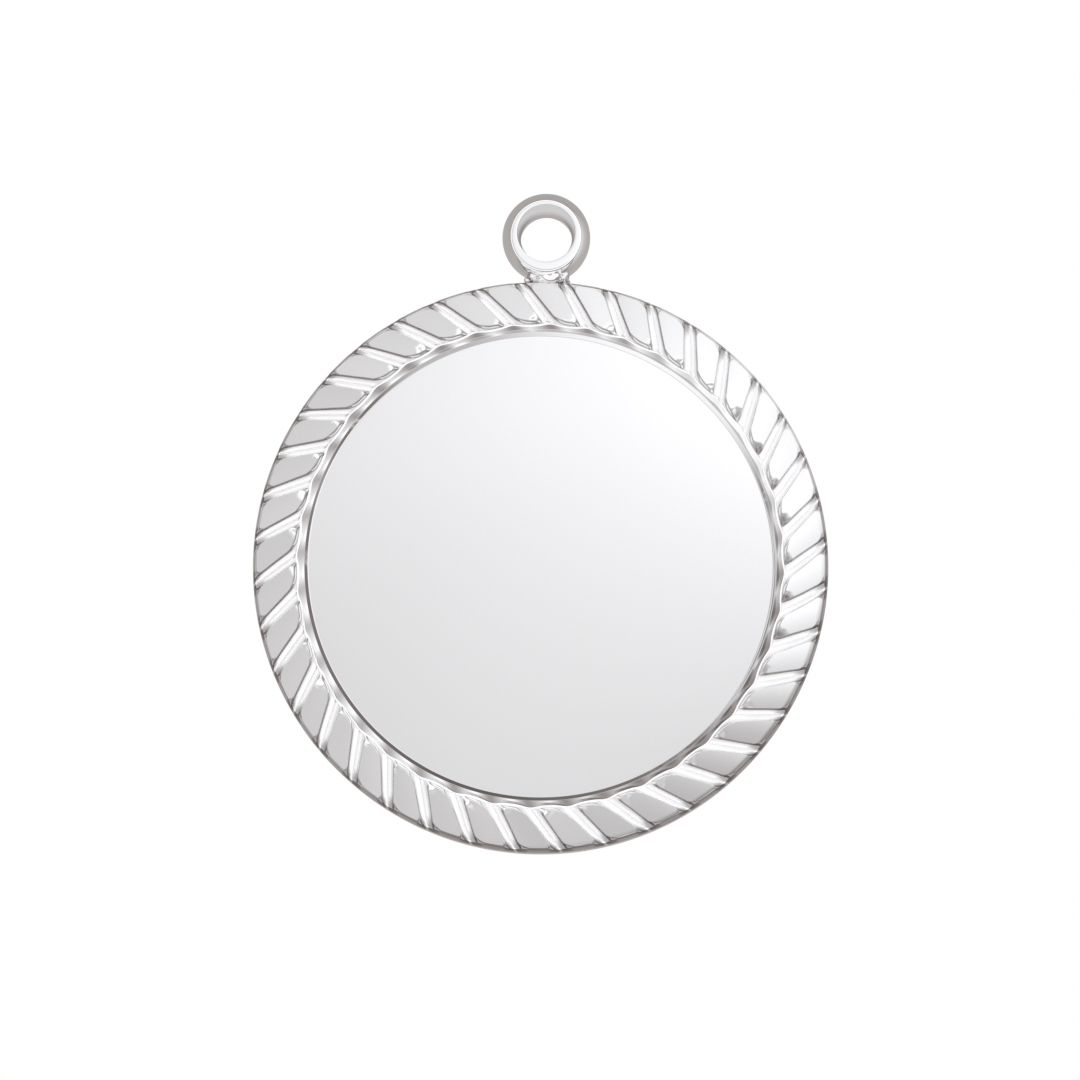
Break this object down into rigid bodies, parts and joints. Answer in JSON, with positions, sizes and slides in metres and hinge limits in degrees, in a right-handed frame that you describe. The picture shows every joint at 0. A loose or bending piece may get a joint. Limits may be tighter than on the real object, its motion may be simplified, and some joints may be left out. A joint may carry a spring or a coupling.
{
  "type": "disc pendant",
  "caption": "Round silver pendant with a plain sunk field, a raised rope border and a small closed ring on its edge for a jump ring or bail.",
  "frame": {"origin": "centre of the disc's flat back", "axes": "+Z out of the face, +Y from the centre of the disc towards the hanging ring"},
  "size_m": [0.025, 0.029, 0.0023],
  "materials": {
    "silver": "mirror-polished sterling silver with a bright plated surface"
  },
  "bodies": {
    "root": {"disc_pendant": "silver"}
  },
  "joints": []
}
